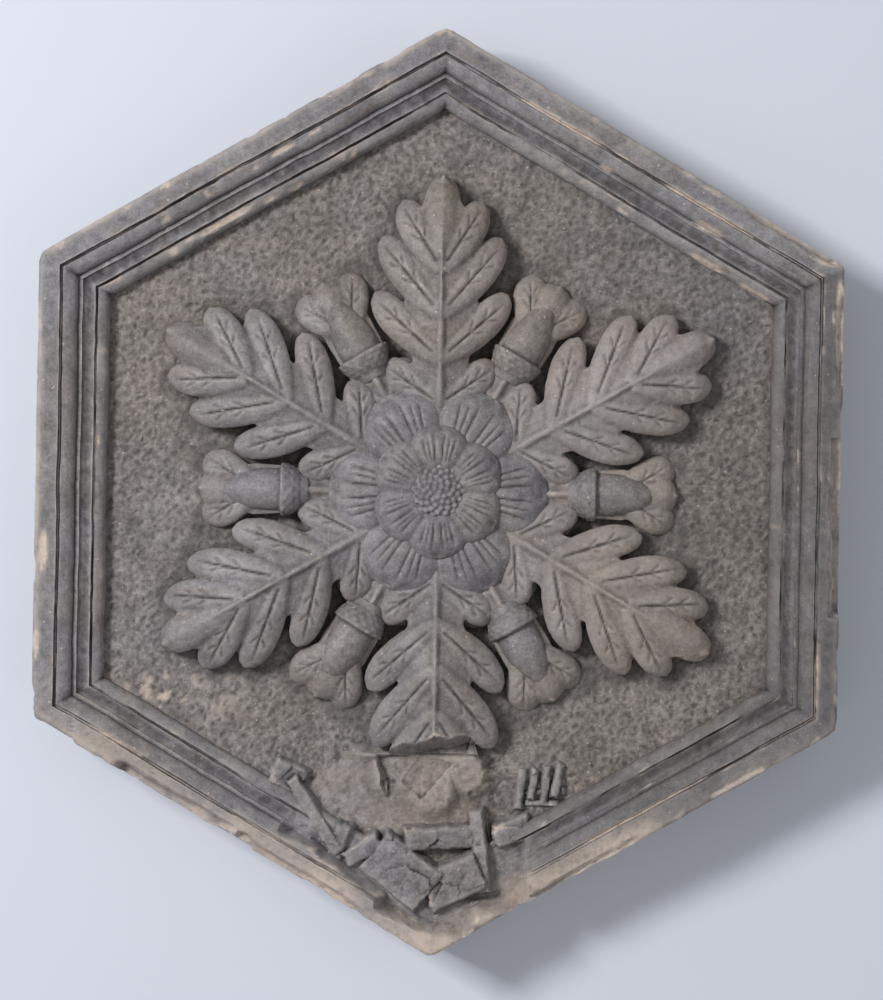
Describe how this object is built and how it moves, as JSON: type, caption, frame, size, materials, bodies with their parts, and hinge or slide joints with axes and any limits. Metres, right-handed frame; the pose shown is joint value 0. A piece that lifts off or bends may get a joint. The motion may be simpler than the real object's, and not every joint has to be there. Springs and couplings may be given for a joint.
{
  "type": "relief tile",
  "caption": "Hexagonal marble tile with a moulded border and a carved foliage rosette on a sunk field, for a wall, ceiling or floor.",
  "frame": {"origin": "middle of the flat back", "axes": "+Z out of the carved face, +Y towards the corner that is uppermost when the tile stands in a wall, +X towards the right-hand flat side as seen from the front"},
  "size_m": [0.7188, 0.8284, 0.114],
  "materials": {
    "marble": "matt, chiselled and weathered, with a dark grey-brown patina"
  },
  "bodies": {
    "root": {"relief_tile": "marble"}
  },
  "joints": []
}
